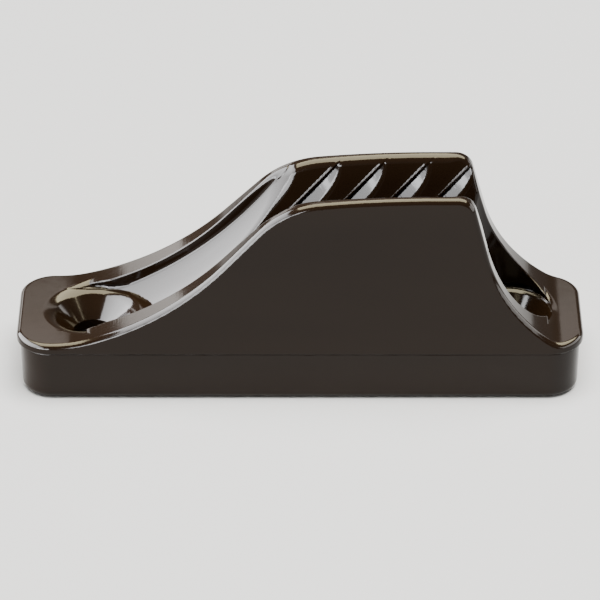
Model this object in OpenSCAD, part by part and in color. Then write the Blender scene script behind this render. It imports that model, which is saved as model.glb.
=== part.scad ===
// Open V-groove jam cleat for small rope, on its base pad.
// +X points to the steep tail end, -X to the long entry ramp where the load pulls, +Z is up.
// The origin is at the centre of the pad's underside. All sizes are in millimetres.

/* [Overall] */
// Length of the cleat body at its widest line, just above the pad
body_length = 65; // [62:0.5:68]
// Width of the cleat body at its widest line
body_width = 16.4; // [16:0.1:18]
// Height of the crest above the mounting surface
crest_height = 25; // [24:0.1:26]
// Plan radius of the body's four corners
corner_r = 4; // [3:0.1:5]
// Lean of the two long outer walls, in degrees
wall_draft = 7.1; // [5:0.1:8]

/* [Base pad] */
// Height of the pad, up to the joint with the body
pad_height = 6.1; // [5.8:0.1:6.4]
// How far the pad's two ends sit inside the body's ends, at the joint
pad_end_inset = 0.4; // [0.3:0.05:0.6]
// How far the pad's long sides sit inside the body's sides, at the joint
pad_side_inset = 0.1; // [0.05:0.05:0.3]
// Lean of the pad's walls, in degrees
pad_draft = 1.5; // [1:0.1:3]
// Chamfer round the pad's lower edge
pad_chamfer = 0.8; // [0.4:0.1:1]
// Depth of the moulding pockets in the pad's underside
pocket_depth = 3.4; // [2:0.1:3.6]
// Thickness of the ribs between the pockets
rib = 1.6; // [1.2:0.1:2]

/* [Body coring] */
// Number of moulding slots under each wall of the V groove
core_count = 3; // [2:1:3]
// Width of each slot
core_width = 2; // [1.6:0.1:2.2]
// Length of each slot
core_length = 5.4; // [4:0.1:5.6]
// Height of the slots above the joint
core_height = 7.5; // [5:0.5:8]

/* [End plates and screws] */
// Height of the flat end plates above the mounting surface
plate_height = 7.2; // [7:0.1:7.5]
// Distance between the two screw holes
screw_spacing = 48; // [47:0.5:49]
// Radius of the screw's clearance hole
screw_r = 2.2; // [2:0.05:2.4]
// Radius of the screw head's recess at the end plate
recess_r = 4.9; // [4.6:0.1:5.1]
// Radius of the bosses that plug into the pad
boss_r = 5.3; // [5.2:0.1:5.6]
// How far the bosses reach below the joint
boss_depth = 3; // [2.5:0.1:3.2]
// Gap round and under each boss
boss_gap = 0.1; // [0.05:0.05:0.2]

/* [Side profile] */
// Radius of the long concave ramp
ramp_r = 34; // [33:0.5:35]
// Steepest slope of the ramp, in degrees
ramp_angle = 46; // [45:0.5:47]
// Length of the straight stretch of the ramp
ramp_straight = 5.7; // [5:0.1:6]
// Radius of the brow between ramp and crest
brow_r = 11; // [10:0.5:12]
// Radius of the nearly flat crest
crest_r = 138; // [130:1:150]
// Slope of the crest where the brow begins, in degrees
crest_slope = 5.4; // [5:0.1:6]
// X of the crest's highest point
crest_top_x = 15.2; // [14.7:0.1:15.7]
// X where the crest turns down at the tail
nose_x = 17.8; // [17.5:0.1:18.1]
// Radius of the tail's upper corner
nose_r = 2.1; // [1.8:0.1:2.4]
// Slope of the tail's straight stretch, in degrees
tail_angle = 75; // [74:0.5:76]
// Length of the tail's straight stretch
tail_straight = 5.7; // [5.4:0.1:6]
// Radius of the tail's concave slope
tail_r = 18; // [17:0.5:19]
// Slope at which the tail's foot starts to run out into the end plate, in degrees
tail_foot = 34; // [32:1:36]
// Slope at which the ramp's foot runs out into the end plate, in degrees
ramp_foot = 14; // [13:0.5:15]

/* [Rope channel] */
// Half the width of the V groove at crest height
groove_half = 4.4; // [4:0.1:4.6]
// Height of the bottom of the V groove
groove_floor = 9.6; // [9.4:0.1:11]
// Half the width of the V groove's flat bottom
groove_bottom_half = 0.6; // [0.4:0.1:0.8]
// Half the distance between the entry channel's upright side walls
channel_half = 4.6; // [4.4:0.1:4.7]
// Cross-section radius of the entry channel's hollow floor
channel_r = 6.6; // [6.4:0.1:6.8]
// Radius of the long arc that the channel follows up the ramp
channel_path_r = 37.8; // [37.4:0.1:38.2]
// X of that arc's centre
channel_cx = -37.6; // [-38:0.1:-37]
// Height of that arc's centre
channel_cz = 46.5; // [46.2:0.1:46.8]

/* [Flutes] */
// Distance between flutes along the crest
flute_pitch = 5.15; // [5:0.05:5.3]
// Number of flutes on each wall
flute_count = 5; // [4:1:5]
// X of the first flute at crest height
first_flute_x = 0.4; // [0:0.1:0.8]
// Radius of each flute's scoop
flute_r = 1.6; // [1.4:0.1:1.8]
// Slope of the flutes, in degrees
flute_angle = 45; // [43:1:47]
// Angle at which each flute sinks into its wall, in degrees
flute_sink = 4; // [3:0.5:5]

/* [Hidden] */
$fn = 96;
cut = 60;              // reach of a cutter that passes right through
over = 1;              // how far a cutter stands proud of the face it opens
arc_step = 3;          // degrees between the points of the profile's arcs
nylon = [0.15, 0.13, 0.12];
pad_nylon = [0.19, 0.17, 0.16];

half_length = body_length / 2;
core_y = 5;            // middle of each wall's foot
screw_x = screw_spacing / 2;
groove_lean = atan((groove_half - groove_bottom_half) / (crest_height - groove_floor));

// Crest and brow: from the highest point, down towards the ramp
brow_x = crest_top_x - crest_r * sin(crest_slope);
brow_z = crest_height - crest_r * (1 - cos(crest_slope));
brow_cx = brow_x + brow_r * sin(crest_slope);
brow_cz = brow_z - brow_r * cos(crest_slope);
// Straight stretch of the ramp, from its upper to its lower end
steep_x = brow_cx - brow_r * sin(ramp_angle);
steep_z = brow_cz + brow_r * cos(ramp_angle);
bend_x = steep_x - ramp_straight * cos(ramp_angle);
bend_z = steep_z - ramp_straight * sin(ramp_angle);
// Centre of the long concave arc, and the softer arc that joins it to the end plate
ramp_cx = bend_x - ramp_r * sin(ramp_angle);
ramp_cz = bend_z + ramp_r * cos(ramp_angle);
ramp_end_z = ramp_cz - ramp_r * cos(ramp_foot);
ramp_foot_r = (ramp_end_z - plate_height) / (1 - cos(ramp_foot));
ramp_foot_cx = ramp_cx + (ramp_r - ramp_foot_r) * sin(ramp_foot);
// Tail: corner, straight stretch, concave slope and foot
nose_cz = crest_height - nose_r;
fall_x = nose_x + nose_r * sin(tail_angle) + tail_straight * cos(tail_angle);
fall_z = nose_cz + nose_r * cos(tail_angle) - tail_straight * sin(tail_angle);
tail_cx = fall_x + tail_r * sin(tail_angle);
tail_cz = fall_z + tail_r * cos(tail_angle);
tail_end_z = tail_cz - tail_r * cos(tail_foot);
tail_foot_r = (tail_end_z - plate_height) / (1 - cos(tail_foot));
tail_foot_cx = tail_cx - (tail_r - tail_foot_r) * sin(tail_foot);

// Points of an arc about (cx, cz), from angle a to angle b
function arc(cx, cz, r, a, b) =
    let (n = max(2, round(abs(b - a) / arc_step)))
    [for (i = [0:n]) let (t = a + (b - a) * i / n) [cx + r * cos(t), cz + r * sin(t)]];

// The body seen from the side
module side_profile() {
    polygon(concat(
        [[-half_length - over, pad_height], [-half_length - over, plate_height]],
        arc(ramp_foot_cx, plate_height + ramp_foot_r, ramp_foot_r, -90, ramp_foot - 90 - arc_step),
        arc(ramp_cx, ramp_cz, ramp_r, ramp_foot - 90, ramp_angle - 90),
        arc(brow_cx, brow_cz, brow_r, 90 + ramp_angle, 90 + crest_slope),
        arc(crest_top_x, crest_height - crest_r, crest_r, 90 + crest_slope / 2, 90),
        arc(nose_x, nose_cz, nose_r, 90, 90 - tail_angle),
        arc(tail_cx, tail_cz, tail_r, 270 - tail_angle, 270 - tail_foot),
        arc(tail_foot_cx, plate_height + tail_foot_r, tail_foot_r, 270 - tail_foot + arc_step, 270),
        [[half_length + over, plate_height], [half_length + over, pad_height]]
    ));
}

// Rounded rectangle, centred
module rounded_plan(length, width, r) {
    square([length - 2 * r, width], center = true);
    square([length, width - 2 * r], center = true);
    for (x = [-1, 1], y = [-1, 1])
        translate([x * (length / 2 - r), y * (width / 2 - r)]) circle(r);
}

// Wedge between the two leaning long walls, running along X
module wall_wedge() {
    z0 = pad_height - over;
    z1 = crest_height + over;
    y0 = body_width / 2 + over * tan(wall_draft);
    y1 = body_width / 2 - (z1 - pad_height) * tan(wall_draft);
    rotate([90, 0, 90])
        linear_extrude(height = body_length + 2 * over, center = true)
            polygon([[-y0, z0], [y0, z0], [y1, z1], [-y1, z1]]);
}

// V groove that jams the rope
module rope_groove() {
    top = crest_height + over;
    half_top = groove_half + over * tan(groove_lean);
    rotate([90, 0, 90])
        linear_extrude(height = body_length + 2 * over, center = true)
            polygon([
                [-groove_bottom_half, groove_floor], [groove_bottom_half, groove_floor],
                [half_top, top], [-half_top, top]
            ]);
}

// Hollow channel that leads the rope from the end plate up the ramp into the V groove
module entry_channel() {
    reach = crest_height + over - plate_height;
    intersection() {
        translate([channel_cx, 0, channel_cz])
            rotate([90, 0, 0])
                rotate_extrude() translate([channel_path_r, 0]) circle(channel_r);
        translate([-half_length - over, -channel_half, plate_height])
            cube([body_length, 2 * channel_half, reach]);
    }
}

// One wall's flutes. They slope down towards the load, sink deeper as they go and end at the
// groove's floor.
module wall_flutes() {
    intersection() {
        for (i = [0:flute_count - 1])
            translate([first_flute_x + i * flute_pitch, groove_half - flute_r, crest_height])
                rotate([-groove_lean, 0, 0])
                    rotate([0, 90 - flute_angle, 0])
                        rotate([flute_sink, 0, 0])
                            translate([0, 0, -cut / 2]) cylinder(h = cut, r = flute_r);
        translate([-half_length, -body_width / 2, groove_floor])
            cube([body_length, body_width, crest_height]);
    }
}

// Countersunk screw hole with room above it for the driver
module screw_recess() {
    sink = recess_r - screw_r; // a 90 degree countersink
    translate([0, 0, -cut / 2]) cylinder(h = cut, r = screw_r);
    translate([0, 0, plate_height - sink]) cylinder(h = sink, r1 = screw_r, r2 = recess_r);
    translate([0, 0, plate_height]) cylinder(h = cut, r = recess_r);
}

// Slots that keep the moulding's thick feet even, open to the joint below
module core_slots() {
    for (i = [0:core_count - 1], side = [-1, 1])
        translate([i * (core_length + rib) - rib, side * core_y - core_width / 2, pad_height - over])
            cube([core_length, core_width, core_height + over]);
}

// Both screw positions
module at_screws() {
    for (x = [-screw_x, screw_x]) translate([x, 0, 0]) children();
}

module cleat_body() {
    color(nylon) difference() {
        union() {
            intersection() {
                rotate([90, 0, 0])
                    linear_extrude(height = body_width + 2 * over, center = true) side_profile();
                wall_wedge();
                linear_extrude(height = crest_height + over)
                    rounded_plan(body_length, body_width, corner_r);
            }
            at_screws()
                translate([0, 0, pad_height - boss_depth])
                    cylinder(h = boss_depth + 0.2, r = boss_r);
        }
        rope_groove();
        entry_channel();
        wall_flutes();
        mirror([0, 1, 0]) wall_flutes();
        at_screws() screw_recess();
        core_slots();
    }
}

// Moulding pockets in two rows, with a rib along the middle and one across it
module pad_pockets() {
    columns = 6;
    room = screw_spacing - 2 * (boss_r + rib);
    wide = (room - (columns - 1) * rib) / columns;
    deep = body_width / 2 - pad_side_inset - 2 * rib;
    for (i = [0:columns - 1], side = [-1, 1])
        translate([-room / 2 + wide / 2 + i * (wide + rib), side * (rib / 2 + deep / 2), 0])
            translate([-wide / 2, -deep / 2, -over]) cube([wide, deep, pocket_depth + over]);
}

// Outer block of the pad: leaning walls, round corners and a chamfered lower edge
module pad_block() {
    r_top = corner_r - pad_end_inset;
    corner_x = half_length - pad_end_inset - r_top;
    corner_y = body_width / 2 - pad_side_inset - r_top;
    r_low = r_top - (pad_height - pad_chamfer) * tan(pad_draft);
    hull()
        for (x = [-1, 1], y = [-1, 1])
            translate([x * corner_x, y * corner_y, 0]) {
                cylinder(h = pad_chamfer, r1 = r_low - pad_chamfer, r2 = r_low, $fn = 32);
                translate([0, 0, pad_chamfer])
                    cylinder(h = pad_height - pad_chamfer, r1 = r_low, r2 = r_top, $fn = 32);
            }
}

module base_pad() {
    color(pad_nylon) difference() {
        pad_block();
        at_screws() {
            translate([0, 0, -over]) cylinder(h = pad_height, r = screw_r);
            translate([0, 0, pad_height - boss_depth - boss_gap])
                cylinder(h = boss_depth + boss_gap + over, r = boss_r + boss_gap);
        }
        pad_pockets();
    }
}

cleat_body();
base_pad();
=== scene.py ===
"""Open V-groove jam cleat for small rope: glossy dark nylon body on a moulded pad, in a pale studio.

The frame gives the parts' places and sizes. Both visible pieces are meshed here from distance fields
with rounded edges, in millimetres, and then placed in metres in the frame's own axes.
"""

import itertools
import math

import bpy
import numpy as np
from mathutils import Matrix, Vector


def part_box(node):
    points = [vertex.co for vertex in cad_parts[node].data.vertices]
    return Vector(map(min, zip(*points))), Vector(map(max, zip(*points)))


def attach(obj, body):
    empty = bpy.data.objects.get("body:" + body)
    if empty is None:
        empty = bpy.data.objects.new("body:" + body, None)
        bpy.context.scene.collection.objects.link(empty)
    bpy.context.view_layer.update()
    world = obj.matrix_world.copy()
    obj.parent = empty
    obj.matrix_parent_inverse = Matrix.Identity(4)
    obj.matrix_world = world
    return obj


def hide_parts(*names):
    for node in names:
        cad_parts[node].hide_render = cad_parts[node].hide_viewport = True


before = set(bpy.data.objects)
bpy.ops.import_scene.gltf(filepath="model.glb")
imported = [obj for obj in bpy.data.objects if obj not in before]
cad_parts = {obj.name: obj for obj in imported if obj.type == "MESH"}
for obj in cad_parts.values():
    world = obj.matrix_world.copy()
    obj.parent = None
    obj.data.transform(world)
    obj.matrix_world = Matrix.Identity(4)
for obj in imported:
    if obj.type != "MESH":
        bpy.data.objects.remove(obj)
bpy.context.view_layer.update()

MM = 0.001

# Camera: azimuth 0, so that it looks along +Y, from above the horizon
CAMERA_ELEVATION = math.radians(31.16)
CAMERA_DISTANCE = 0.4996
CAMERA_TARGET = Vector((0, 0, 0.00847))
CAMERA_LENS = 259.9
CAMERA_SENSOR = 36

# The floor, in metres. The gap keeps its face apart from the pad's underside.
FLOOR_REACH = 3
FLOOR_GAP = 0.00002


def make_camera():
    """A long lens at the photograph's height, aimed a little above the pad."""
    data = bpy.data.cameras.new("camera")
    data.lens = CAMERA_LENS
    data.sensor_width = CAMERA_SENSOR
    camera = bpy.data.objects.new("camera", data)
    back = Vector((0, -math.cos(CAMERA_ELEVATION), math.sin(CAMERA_ELEVATION)))
    camera.location = CAMERA_TARGET + CAMERA_DISTANCE * back
    camera.rotation_euler = (math.pi / 2 - CAMERA_ELEVATION, 0, 0)
    bpy.context.collection.objects.link(camera)
    bpy.context.scene.camera = camera


make_camera()

# Sizes in millimetres. The outer sizes come from the frame, the rest repeats the CAD part's numbers.
body_low, body_high = (np.array(corner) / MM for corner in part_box("cleat_body"))
pad_low, pad_high = (np.array(corner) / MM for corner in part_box("base_pad"))
HALF_LENGTH = body_high[0]
HALF_WIDTH = body_high[1]
CREST = body_high[2]
JOINT = pad_high[2]
BOSS_LOW = body_low[2]

PLATE = 7.2
CORNER_R = 4
WALL_LEAN = math.tan(math.radians(7.1))
EDGE_R = 0.6             # rounding of the plates' edges and of the rims' outer edges
RIM_RAMP_R = 0.15        # rounding of the rims' inner edges along the ramp
RIM_CREST_R = 0.8        # and along the crest
RIM_TAIL_R = 0.4         # and down the tail
RIM_BROW_X = (-7, 0)     # where the ramp's rounding grows into the crest's
RIM_NOSE_X = (16.5, 19)  # where the crest's rounding shrinks into the tail's
JOINT_EDGE_R = 0.1
PAD_HALF_LENGTH = pad_high[0]
PAD_HALF_WIDTH = pad_high[1]
PAD_CORNER_R = CORNER_R - (HALF_LENGTH - PAD_HALF_LENGTH)
PAD_LEAN = math.tan(math.radians(1.5))
PAD_EDGE_R = 0.9
SCREW_X = 24
SCREW_R = 2.2
RECESS_R = 4.9
RECESS_LIP_R = 0.6
DRIVER_GAP = 0.15        # height above the plate where the driver's room starts
BOSS_R = 5.3
BOSS_GAP = 0.1

# V groove and its flutes
GROOVE_FLOOR = 9.6
GROOVE_BOTTOM_HALF = 0.6
GROOVE_TOP_HALF = 4.4
GROOVE_SLOPE = (GROOVE_TOP_HALF - GROOVE_BOTTOM_HALF) / (CREST - GROOVE_FLOOR)
GROOVE_BOTTOM_R = 0.5
GROOVE_MOUTH_R = 0.3     # rounding where the groove meets the ramp's channel
FLUTE_COUNT = 5
FLUTE_PITCH = 5.15       # along X
FLUTE_EDGE_X = -1.0      # X of the first flute's upper edge, at FLUTE_EDGE_Z
FLUTE_EDGE_Z = 24
FLUTE_SLOPE = math.radians(45)
FLUTE_START = -0.5           # distance down the flute's edge where the flute begins
FLUTE_WIDTH = 1.95
FLUTE_GROWTH = 1.9           # length over which it widens
FLUTE_STEEP = 1.6            # slopes of its two sides
FLUTE_EASY = 0.5
FLUTE_VALLEY = 0.12          # softness of its bottom, as a part of its width
FLUTE_UPPER_FADE = 0.03
FLUTE_LOWER_FADE = 0.2
FLUTE_TIP_VALLEY = 0.01      # least softness and least width, where a flute begins
FLUTE_TIP_WIDTH = 0.1
BEAD_HEIGHT = 0.075          # raised edge above each flute
BEAD_WIDTH = 0.12

# Hollow channel up the entry ramp: a ring about the Y axis, between upright side walls
CHANNEL_X = -37.6
CHANNEL_Z = 46.5
CHANNEL_PATH_R = 37.8
CHANNEL_R = 6.6
CHANNEL_HALF = 4.6
CHANNEL_CORNER_R = 0.2

# Moulding hollows that are hidden under the body and under the pad
CORE_Y = 5
CORE_SIZE = (5.4, 2, 7.5)
CORE_COUNT = 3
RIB = 1.6
POCKET_DEPTH = 3.4
POCKET_COLUMNS = 6
HIDDEN_EDGE_R = 0.25
OVERCUT = 2              # how far a hollow's box runs on past the face that it opens

# Grid steps and triangle limits of the two meshes
BODY_STEP = 0.11
BODY_FACES = 196000
PAD_STEP = 0.16
PAD_FACES = 60000

# Colours: the nylon's and the floor's two tones, and the studio's lights
NYLON_DARK = (0.0018, 0.0009, 0.0004, 1)
NYLON_LIGHT = (0.0028, 0.0015, 0.0008, 1)
FLOOR_DARK = (0.86, 0.86, 0.85, 1)
FLOOR_LIGHT = (0.88, 0.88, 0.87, 1)
WORLD_TINT = (1, 0.96, 0.9, 1)
COOL_WHITE = (0.97, 0.98, 1)
WARM_WHITE = (1, 0.97, 0.93)
CREAM = (1, 0.90, 0.62)
BEIGE = (1, 0.92, 0.84)
SOFT_WHITE = (1, 0.98, 0.95)
ROOM_WHITE = (1, 0.99, 0.97)

# Polish of the nylon: roughness from its shiniest to its dullest places, and its reflection
BODY_ROUGHNESS = (0.07, 0.12)
PAD_ROUGHNESS = (0.12, 0.2)
NYLON_IOR = 1.53
NYLON_SPECULAR = 0.15


def round_max(a, b, r):
    """Intersection of two solids' distance fields, with the new convex edge rounded to radius r."""
    return np.minimum(np.maximum(a, b), -r) + np.hypot(np.maximum(a + r, 0), np.maximum(b + r, 0))


def round_min(a, b, r):
    """Union of two solids' distance fields, with the new concave corner rounded to radius r."""
    return -round_max(-a, -b, r)


def fade(value, low, high):
    """0 below low, 1 above high, and a smooth step between."""
    share = np.clip((value - low) / (high - low), 0, 1)
    return share * share * (3 - 2 * share)


def soft_max(a, b, k):
    """The larger of two values, blended where they are closer than k."""
    return np.maximum(a, b) + np.maximum(k - np.abs(a - b), 0) ** 2 / (4 * k)


def soft_min(a, b, k):
    """The smaller of two values, blended where they are closer than k."""
    return -soft_max(-a, -b, k)


SEAM = 1e-6              # overlap between the pieces of an outline, so that no point falls between two
REACH = 40               # how far the end plates' lines run on past the object


def line_distance(x, z, start, end):
    """Signed distance to a profile line, positive on its left, and endless where it has no foot."""
    dx, dz = end[0] - start[0], end[1] - start[1]
    length = math.hypot(dx, dz)
    along = ((x - start[0]) * dx + (z - start[1]) * dz) / length
    across = ((z - start[1]) * dx - (x - start[0]) * dz) / length
    return np.where((along >= -SEAM) & (along <= length + SEAM), across, np.inf)


def arc_distance(x, z, centre, radius, angles, convex):
    """Signed distance to a profile arc, positive outside the solid, and endless where it has no foot."""
    middle, half = sum(angles) / 2, abs(angles[1] - angles[0]) / 2
    dx, dz = x - centre[0], z - centre[1]
    turn = np.arctan2(dz, dx) - middle
    turn = np.abs((turn + np.pi) % (2 * np.pi) - np.pi)
    distance = np.hypot(dx, dz) - radius
    return np.where(turn <= half + SEAM, distance if convex else -distance, np.inf)


class Outline:
    """One side of the body's upper outline, drawn outwards from its highest point with tangent arcs."""

    def __init__(self, steps):
        """Each step is a straight length, or an arc's radius and the downward slope where it ends.

        The outline then runs out onto the end plate through one more arc.
        """
        self.point = (0, 0)
        self.heading = 0
        self.pieces = []
        for step in steps:
            if isinstance(step, tuple):
                self.turn(step[0], -math.radians(step[1]))
            else:
                self.line(step)
        foot_r = (self.point[1] - PLATE + CREST) / (1 - math.cos(self.heading))
        self.turn(foot_r, 0)
        self.line(REACH)

    def line(self, length):
        """A straight piece along the present heading."""
        x, z = self.point
        end = (x + length * math.cos(self.heading), z + length * math.sin(self.heading))
        self.pieces.append((line_distance, (self.point, end)))
        self.point = end

    def turn(self, radius, heading):
        """An arc to a new heading: a hollow if it turns up, a bulge if it turns down."""
        convex = heading < self.heading
        side = -math.pi / 2 if convex else math.pi / 2
        to_centre = self.heading + side
        x, z = self.point
        centre = (x + radius * math.cos(to_centre), z + radius * math.sin(to_centre))
        angles = (self.heading - side, heading - side)
        self.pieces.append((arc_distance, (centre, radius, angles, convex)))
        self.point = (centre[0] + radius * math.cos(angles[1]), centre[1] + radius * math.sin(angles[1]))
        self.heading = heading

    def distance(self, x, z):
        """Signed distance to the nearest piece."""
        nearest = np.full(np.broadcast(x, z).shape, np.inf)
        for measure, shape in self.pieces:
            found = measure(x, z, *shape)
            nearest = np.where(np.abs(found) < np.abs(nearest), found, nearest)
        return nearest


CREST_TOP_X = 15.2
RAMP_SIDE = Outline([(138, 5.4), (11, 46), 5.7, (34, 14)])
TAIL_SIDE = Outline([2.6, (2.1, 75), 5.7, (18, 34)])


def profile_distance(x, z):
    """Distance above the body's outline. The two sides meet at the crest's highest point."""
    ramp = RAMP_SIDE.distance(CREST_TOP_X - x, z - CREST)
    tail = TAIL_SIDE.distance(x - CREST_TOP_X, z - CREST)
    return np.where(np.abs(ramp) < np.abs(tail), ramp, tail)


def plan_distance(x, y, half_length, half_width, corner_r):
    """Distance from an upright rounded block's walls. The half sizes may change with height."""
    dx = np.abs(x) - half_length + corner_r
    dy = np.abs(y) - half_width + corner_r
    outside = np.hypot(np.maximum(dx, 0), np.maximum(dy, 0))
    return outside + np.minimum(np.maximum(dx, dy), 0) - corner_r


def box_distance(x, y, z, low, high, r):
    """Distance from a box with rounded edges."""
    middle = [(a + b) / 2 for a, b in zip(low, high)]
    reach = [(b - a) / 2 - r for a, b in zip(low, high)]
    gaps = [np.abs(v - m) - s for v, m, s in zip((x, y, z), middle, reach)]
    outside = np.sqrt(sum(np.maximum(gap, 0) ** 2 for gap in gaps))
    return outside + np.minimum(np.maximum(np.maximum(gaps[0], gaps[1]), gaps[2]), 0) - r


def flute_depth(x, z):
    """How far the flutes are cut into the groove's walls.

    Each one drops steeply behind a thin raised edge and rises gently to the land below it.
    """
    across = (x - FLUTE_EDGE_X) * math.sin(FLUTE_SLOPE) - (z - FLUTE_EDGE_Z) * math.cos(FLUTE_SLOPE)
    along = (x - FLUTE_EDGE_X) * math.cos(FLUTE_SLOPE) + (z - FLUTE_EDGE_Z) * math.sin(FLUTE_SLOPE)
    depth, bead = 0, 0
    for i in range(FLUTE_COUNT):
        spacing = i * FLUTE_PITCH
        run = spacing * math.cos(FLUTE_SLOPE) - along
        from_edge = across - spacing * math.sin(FLUTE_SLOPE)
        grown = 1 - np.exp(-np.maximum(run - FLUTE_START, 0) / FLUTE_GROWTH)
        width = FLUTE_WIDTH * grown
        valley = FLUTE_VALLEY * width + FLUTE_TIP_VALLEY
        scoop = soft_min(FLUTE_STEEP * from_edge, FLUTE_EASY * (width - from_edge), valley)
        lower_side = np.clip(from_edge / (width + FLUTE_TIP_WIDTH), 0, 1)
        softness = FLUTE_UPPER_FADE + (FLUTE_LOWER_FADE - FLUTE_UPPER_FADE) * lower_side
        depth = soft_max(depth, scoop, softness)
        bead = bead + np.minimum(2 * grown, 1) * np.exp(-((from_edge / BEAD_WIDTH + 1) ** 2))
    return depth - BEAD_HEIGHT * bead


def groove_distance(x, y, z):
    """Distance inside the V groove, flutes included. Positive in the walls."""
    half = GROOVE_BOTTOM_HALF + (z - GROOVE_FLOOR) * GROOVE_SLOPE
    walls = (np.abs(y) - half) / math.hypot(1, GROOVE_SLOPE) - flute_depth(x, z)
    return round_max(walls, GROOVE_FLOOR - z, GROOVE_BOTTOM_R)


def channel_distance(x, y, z):
    """Distance inside the ramp's hollow channel."""
    ring = np.hypot(np.hypot(x - CHANNEL_X, z - CHANNEL_Z) - CHANNEL_PATH_R, y) - CHANNEL_R
    return round_max(ring, np.abs(y) - CHANNEL_HALF, CHANNEL_CORNER_R)


def rim_radius(x):
    """Rounding of the rims' inner edges along the body."""
    crest = RIM_RAMP_R + (RIM_CREST_R - RIM_RAMP_R) * fade(x, *RIM_BROW_X)
    return crest + (RIM_TAIL_R - RIM_CREST_R) * fade(x, *RIM_NOSE_X)


def recess_distance(x, y, z):
    """Distance inside a screw hole and the 90 degree countersink that opens it to the plate."""
    radius = np.hypot(np.abs(x) - SCREW_X, y)
    cone = (radius - RECESS_R - (z - PLATE)) * math.sqrt(0.5)
    return np.minimum(radius - SCREW_R, np.maximum(cone, z - PLATE - DRIVER_GAP))


def driver_distance(x, y, z):
    """Distance inside the room above each screw for its driver."""
    radius = np.hypot(np.abs(x) - SCREW_X, y)
    return np.maximum(radius - RECESS_R, PLATE + DRIVER_GAP - z)


def core_distance(x, y, z):
    """Distance inside the slots under the groove's walls."""
    length, width, height = CORE_SIZE
    nearest = np.inf
    for i in range(CORE_COUNT):
        start = i * (length + RIB) - RIB
        low = (start, CORE_Y - width / 2, JOINT - OVERCUT)
        high = (start + length, CORE_Y + width / 2, JOINT + height)
        nearest = np.minimum(nearest, box_distance(x, np.abs(y), z, low, high, HIDDEN_EDGE_R))
    return nearest


def body_distance(x, y, z):
    """The cleat body: a hump with a groove down its middle, on a thin plate with plugs under it."""
    side = plan_distance(x, y, HALF_LENGTH, HALF_WIDTH - (z - JOINT) * WALL_LEAN, CORNER_R)
    hump = round_max(profile_distance(x, z), side, EDGE_R)
    rope_room = round_min(groove_distance(x, y, z), channel_distance(x, y, z), GROOVE_MOUTH_R)
    hump = round_max(hump, -rope_room, rim_radius(x))
    plate = round_max(z - PLATE, side, EDGE_R)
    recess = recess_distance(x, y, z)
    solid = round_max(np.minimum(hump, plate), -driver_distance(x, y, z), DRIVER_GAP)
    solid = round_max(solid, -recess, RECESS_LIP_R)
    solid = round_max(solid, JOINT - z, JOINT_EDGE_R)
    plug = np.maximum(np.hypot(np.abs(x) - SCREW_X, y) - BOSS_R, z - (JOINT + PLATE) / 2)
    plug = np.maximum(round_max(plug, BOSS_LOW - z, HIDDEN_EDGE_R), -recess)
    solid = np.minimum(solid, plug)
    return round_max(solid, -core_distance(x, y, z), HIDDEN_EDGE_R)


def pocket_distance(x, y, z):
    """Distance inside the moulding pockets under the pad."""
    room = 2 * (SCREW_X - BOSS_R - RIB)
    length = (room - (POCKET_COLUMNS - 1) * RIB) / POCKET_COLUMNS
    width = PAD_HALF_WIDTH - 2 * RIB
    nearest = np.inf
    for i in range(POCKET_COLUMNS):
        start = -room / 2 + i * (length + RIB)
        low = (start, RIB / 2, -OVERCUT)
        high = (start + length, RIB / 2 + width, POCKET_DEPTH)
        nearest = np.minimum(nearest, box_distance(x, np.abs(y), z, low, high, HIDDEN_EDGE_R))
    return nearest


def pad_distance(x, y, z):
    """The base pad: a leaning block with a rounded lower edge, sockets above and pockets below."""
    inset = (JOINT - z) * PAD_LEAN
    side = plan_distance(x, y, PAD_HALF_LENGTH - inset, PAD_HALF_WIDTH - inset, PAD_CORNER_R)
    solid = round_max(round_max(side, -z, PAD_EDGE_R), z - JOINT, JOINT_EDGE_R)
    radius = np.hypot(np.abs(x) - SCREW_X, y)
    socket = np.maximum(radius - BOSS_R - BOSS_GAP, BOSS_LOW - BOSS_GAP - z)
    solid = round_max(solid, -np.minimum(radius - SCREW_R, socket), HIDDEN_EDGE_R)
    return round_max(solid, -pocket_distance(x, y, z), HIDDEN_EDGE_R)


def sample(distance, low, high, step):
    """A field's values on a grid that covers the box, worked out for +Y and mirrored. Also its origin."""
    count = [int(math.ceil((b - a) / step)) + 3 for a, b in zip(low, high)]
    x = low[0] - step + step * np.arange(count[0], dtype=np.float32)
    z = low[2] - step + step * np.arange(count[2], dtype=np.float32)
    y = step * np.arange(int(math.ceil(high[1] / step)) + 2, dtype=np.float32)
    half = distance(x[:, None, None], y[None, :, None], z[None, None, :]).astype(np.float32)
    return np.concatenate([half[:, :0:-1], half], axis=1), np.array([x[0], -y[-1], z[0]])


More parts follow.
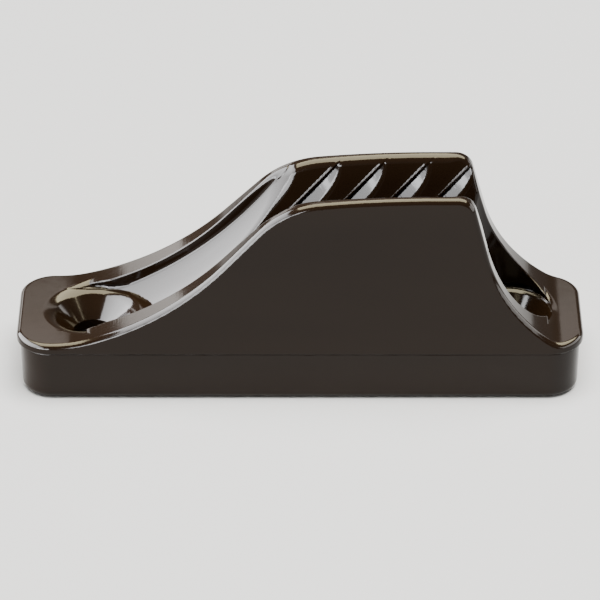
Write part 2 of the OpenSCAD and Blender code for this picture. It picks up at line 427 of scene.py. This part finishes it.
def surface_net(field, origin, step):
    """Points and quads of the field's zero level, with one point in each cell that it crosses."""
    inside = field < 0
    shape = tuple(n - 1 for n in field.shape)
    corners = list(itertools.product((0, 1), repeat=3))
    count = np.zeros(shape, dtype=np.int8)
    for i, j, k in corners:
        count += inside[i:i + shape[0], j:j + shape[1], k:k + shape[2]]
    crossed = (count > 0) & (count < len(corners))
    cells = np.argwhere(crossed)
    index = np.full(shape, -1, dtype=np.int64)
    index[crossed] = np.arange(len(cells))

    total = np.zeros((len(cells), 3))
    hits = np.zeros((len(cells), 1))
    for a, b in itertools.combinations(corners, 2):
        if sum(abs(i - j) for i, j in zip(a, b)) != 1:
            continue
        at_a, at_b = (field[tuple((cells + c).T)] for c in (a, b))
        crosses = (at_a < 0) != (at_b < 0)
        share = np.where(crosses, at_a / np.where(crosses, at_a - at_b, 1), 0)[:, None]
        total += np.where(crosses[:, None], np.array(a) + share * (np.array(b) - np.array(a)), 0)
        hits += crosses[:, None]
    points = origin + step * (cells + total / hits)

    quads = []
    for axis in range(3):
        u, v = (axis + 1) % 3, (axis + 2) % 3
        first = np.moveaxis(inside, (axis, u, v), (0, 1, 2))
        cell = np.moveaxis(index, (axis, u, v), (0, 1, 2))
        edges = first[:-1, 1:-1, 1:-1] != first[1:, 1:-1, 1:-1]
        i, j, k = np.nonzero(edges)
        around = (cell[i, j, k], cell[i, j + 1, k], cell[i, j + 1, k + 1], cell[i, j, k + 1])
        ring = np.stack(around, axis=1)
        leaves = first[i, j + 1, k + 1]
        quads.append(np.where(leaves[:, None], ring, ring[:, ::-1]))
    return points, np.concatenate(quads)


TINY = 1e-9              # keeps a division from failing
SETTLE_ROUNDS = 3
LEAST_SLOPE = 0.5        # a flatter field doesn't tell how far its zero level is


def slope(distance, points, step=0.01):
    """The field's gradient at each point."""
    grad = np.empty_like(points)
    for axis in range(3):
        move = np.zeros(3)
        move[axis] = step
        ahead, behind = (distance(*(points + sign * move).T) for sign in (1, -1))
        grad[:, axis] = (ahead - behind) / (2 * step)
    return grad


def settle(distance, points, step):
    """Moves the points onto the field's zero level, by no more than a part of a cell."""
    for _ in range(SETTLE_ROUNDS):
        grad = slope(distance, points)
        steepness = np.maximum((grad ** 2).sum(axis=1, keepdims=True), LEAST_SLOPE ** 2)
        move = distance(*points.T)[:, None] * grad / steepness
        points = points - np.clip(move, -step / 2, step / 2)
    return points


def reduce_faces(mesh, limit):
    """Joins faces where the surface is flattest, down to a number of triangles."""
    triangles = 2 * len(mesh.polygons)
    if triangles <= limit:
        return mesh
    holder = bpy.data.objects.new("reduce", mesh)
    bpy.context.collection.objects.link(holder)
    modifier = holder.modifiers.new("reduce", "DECIMATE")
    modifier.ratio = limit / triangles
    ready = holder.evaluated_get(bpy.context.evaluated_depsgraph_get())
    reduced = bpy.data.meshes.new_from_object(ready)
    bpy.data.objects.remove(holder)
    return reduced


def read_mesh(mesh):
    """The mesh's points and triangles as arrays."""
    points = np.empty(3 * len(mesh.vertices))
    mesh.vertices.foreach_get("co", points)
    mesh.calc_loop_triangles()
    triangles = np.empty(3 * len(mesh.loop_triangles), dtype=np.int32)
    mesh.loop_triangles.foreach_get("vertices", triangles)
    return points.reshape(-1, 3), triangles.reshape(-1, 3)


def true_normals(distance, points, triangles):
    """Point normals from the field itself, led by the largest faces, so that flat faces look flat."""
    corners = points[triangles]
    area = np.linalg.norm(np.cross(corners[:, 1] - corners[:, 0], corners[:, 2] - corners[:, 0]), axis=1)
    facing = slope(distance, corners.mean(axis=1))
    facing *= (area / np.maximum(np.linalg.norm(facing, axis=1), TINY))[:, None]
    normals = np.zeros_like(points)
    for column in range(3):
        np.add.at(normals, triangles[:, column], facing)
    return normals / np.maximum(np.linalg.norm(normals, axis=1, keepdims=True), TINY)


def make_piece(name, distance, low, high, step, limit):
    """A closed mesh object of a distance field in millimetres, scaled to metres."""
    field, origin = sample(distance, low, high, step)
    points, quads = surface_net(field, origin, step)
    points = settle(distance, points, step)
    mesh = bpy.data.meshes.new(name)
    mesh.from_pydata(points, [], quads.tolist())
    mesh = reduce_faces(mesh, limit)
    points, triangles = read_mesh(mesh)
    normals = true_normals(distance, points, triangles)
    mesh.vertices.foreach_set("co", (points * MM).ravel())
    mesh.update()
    mesh.polygons.foreach_set("use_smooth", np.ones(len(mesh.polygons), dtype=bool))
    mesh.normals_split_custom_set_from_vertices(normals)
    mesh.name = name
    piece = bpy.data.objects.new(name, mesh)
    bpy.context.collection.objects.link(piece)
    return piece


class Nodes:
    """A short way to add and join a material's shader nodes."""

    def __init__(self, name):
        self.material = bpy.data.materials.new(name)
        self.material.use_nodes = True
        self.tree = self.material.node_tree
        self.shader = self.tree.nodes["Principled BSDF"]
        self.place = self.add("ShaderNodeTexCoord").outputs["Object"]

    def add(self, kind, **inputs):
        node = self.tree.nodes.new(kind)
        for name, value in inputs.items():
            self.feed(node.inputs[name.replace("_", " ")], value)
        return node

    def feed(self, socket, value):
        if isinstance(value, bpy.types.NodeSocket):
            self.tree.links.new(value, socket)
        else:
            socket.default_value = value

    def noise(self, scale, detail, stretch=(1, 1, 1)):
        mapping = self.add("ShaderNodeMapping", Vector=self.place, Scale=stretch)
        node = self.add("ShaderNodeTexNoise", Vector=mapping.outputs[0], Scale=scale)
        node.inputs["Detail"].default_value = detail
        return node.outputs[0]

    def span(self, value, low, high, start=0.3, end=0.7):
        node = self.add("ShaderNodeMapRange", Value=value)
        for socket, number in zip(("From Min", "From Max", "To Min", "To Max"), (start, end, low, high)):
            node.inputs[socket].default_value = number
        return node.outputs[0]

    def blend(self, share, first, second):
        node = self.tree.nodes.new("ShaderNodeMix")
        node.data_type = "RGBA"
        for socket, value in zip((node.inputs[0], node.inputs[6], node.inputs[7]), (share, first, second)):
            self.feed(socket, value)
        return node.outputs[2]

    def bump(self, height, distance, strength, below=None):
        node = self.add("ShaderNodeBump", Height=height)
        node.inputs["Distance"].default_value = distance
        node.inputs["Strength"].default_value = strength
        if below is not None:
            self.feed(node.inputs["Normal"], below)
        return node.outputs[0]


def make_nylon(name, roughness):
    """Glossy moulded nylon: faint flow marks in its colour, uneven polish, a fine skin and slow waves."""
    nodes = Nodes(name)
    cloud = nodes.noise(scale=90, detail=4)
    flow = nodes.noise(scale=45, detail=5, stretch=(0.35, 1, 1.6))
    tone = nodes.span(flow, 0, 1)
    colour = nodes.blend(tone, NYLON_DARK, NYLON_LIGHT)
    nodes.feed(nodes.shader.inputs["Base Color"], colour)
    low, high = roughness
    nodes.feed(nodes.shader.inputs["Roughness"], nodes.span(cloud, low, high))
    nodes.shader.inputs["IOR"].default_value = NYLON_IOR
    nodes.shader.inputs["Specular IOR Level"].default_value = NYLON_SPECULAR
    skin = nodes.bump(nodes.noise(scale=900, detail=2), distance=0.00002, strength=0.15)
    waves = nodes.bump(nodes.noise(scale=160, detail=2), distance=0.0001, strength=0.12, below=skin)
    nodes.feed(nodes.shader.inputs["Normal"], waves)
    return nodes.material


def make_floor():
    """The plain pale floor."""
    nodes = Nodes("floor_paper")
    shade = nodes.blend(nodes.span(nodes.noise(scale=6, detail=3), 0, 1), FLOOR_DARK, FLOOR_LIGHT)
    nodes.feed(nodes.shader.inputs["Base Color"], shade)
    nodes.shader.inputs["Roughness"].default_value = 0.9
    nodes.shader.inputs["Specular IOR Level"].default_value = 0.1
    mesh = bpy.data.meshes.new("floor")
    corners = [(FLOOR_REACH * x, FLOOR_REACH * y, 0) for x, y in ((-1, -1), (1, -1), (1, 1), (-1, 1))]
    mesh.from_pydata(corners, [], [(0, 1, 2, 3)])
    floor = bpy.data.objects.new("floor", mesh)
    floor.location.z = -FLOOR_GAP
    floor.data.materials.append(nodes.material)
    bpy.context.collection.objects.link(floor)


def make_panel(name, centre, aim, size, radiance, colour, spread=180):
    """A soft light panel that faces a point. Its power follows from how bright its middle looks.

    A spread below 180 degrees makes it fade towards its ends.
    """
    data = bpy.data.lights.new(name, "AREA")
    data.shape = "RECTANGLE"
    data.size, data.size_y = size
    data.energy = radiance * math.pi * size[0] * size[1]
    data.color = colour
    if spread < 180:
        half = math.radians(spread / 2)
        data.spread = 2 * half
        data.energy *= 1 - half / math.tan(half)
    light = bpy.data.objects.new(name, data)
    light.location = centre
    light.rotation_euler = (Vector(centre) - Vector(aim)).to_track_quat("Z", "Y").to_euler()
    bpy.context.collection.objects.link(light)
    return light


def light_only(light, receivers):
    """The light reaches only these objects, so that a bright panel doesn't bleach the floor."""
    group = bpy.data.collections.new(light.name + "_receivers")
    for receiver in receivers:
        group.objects.link(receiver)
    light.light_linking.receiver_collection = group


def make_lights(lit):
    """Panels that the gloss reflects, a soft room light that the gloss doesn't see, and a dim world."""
    panels = [
        make_panel("left_panel", (-0.50, -0.12, 0.30), (0, -0.12, 0), (1.35, 0.55), 48, COOL_WHITE, 130),
        make_panel("back_left_panel", (-0.46, 0.85, 0.26), (0, 0, 0), (0.35, 0.20), 5, WARM_WHITE),
        make_panel("front_left_panel", (-0.42, -0.80, 0.21), (0, 0, 0), (0.60, 0.30), 40, COOL_WHITE),
        make_panel("right_panel", (0.60, -0.10, 0.20), (0, -0.10, 0), (1.0, 0.30), 10, SOFT_WHITE),
        make_panel("top_strip", (0.12, 0.14, 0.74), (0.12, 0, 0), (0.95, 0.85), 27, CREAM),
        make_panel("back_panel", (0.42, 0.86, 0.597), (0.42, 0, 0), (1.3, 0.15), 2.8, BEIGE),
    ]
    for panel in panels:
        light_only(panel, lit)
    room = make_panel("room_light", (0.1, -0.1, 1.1), (0, 0, 0), (1.0, 1.0), 11, ROOM_WHITE)
    room.visible_glossy = False
    world = bpy.data.worlds.new("studio")
    world.use_nodes = True
    background = world.node_tree.nodes["Background"]
    background.inputs["Color"].default_value = WORLD_TINT
    background.inputs["Strength"].default_value = 0.25
    bpy.context.scene.world = world


body = make_piece("cleat_body_moulding", body_distance, body_low, body_high, BODY_STEP, BODY_FACES)
pad = make_piece("base_pad_moulding", pad_distance, pad_low, pad_high, PAD_STEP, PAD_FACES)
body.data.materials.append(make_nylon("body_nylon", BODY_ROUGHNESS))
pad.data.materials.append(make_nylon("pad_nylon", PAD_ROUGHNESS))
for piece, node, finish in ((body, "cleat_body", "body_nylon"), (pad, "base_pad", "pad_nylon")):
    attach(piece, "root")
    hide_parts(node)

make_floor()
make_lights([body, pad])
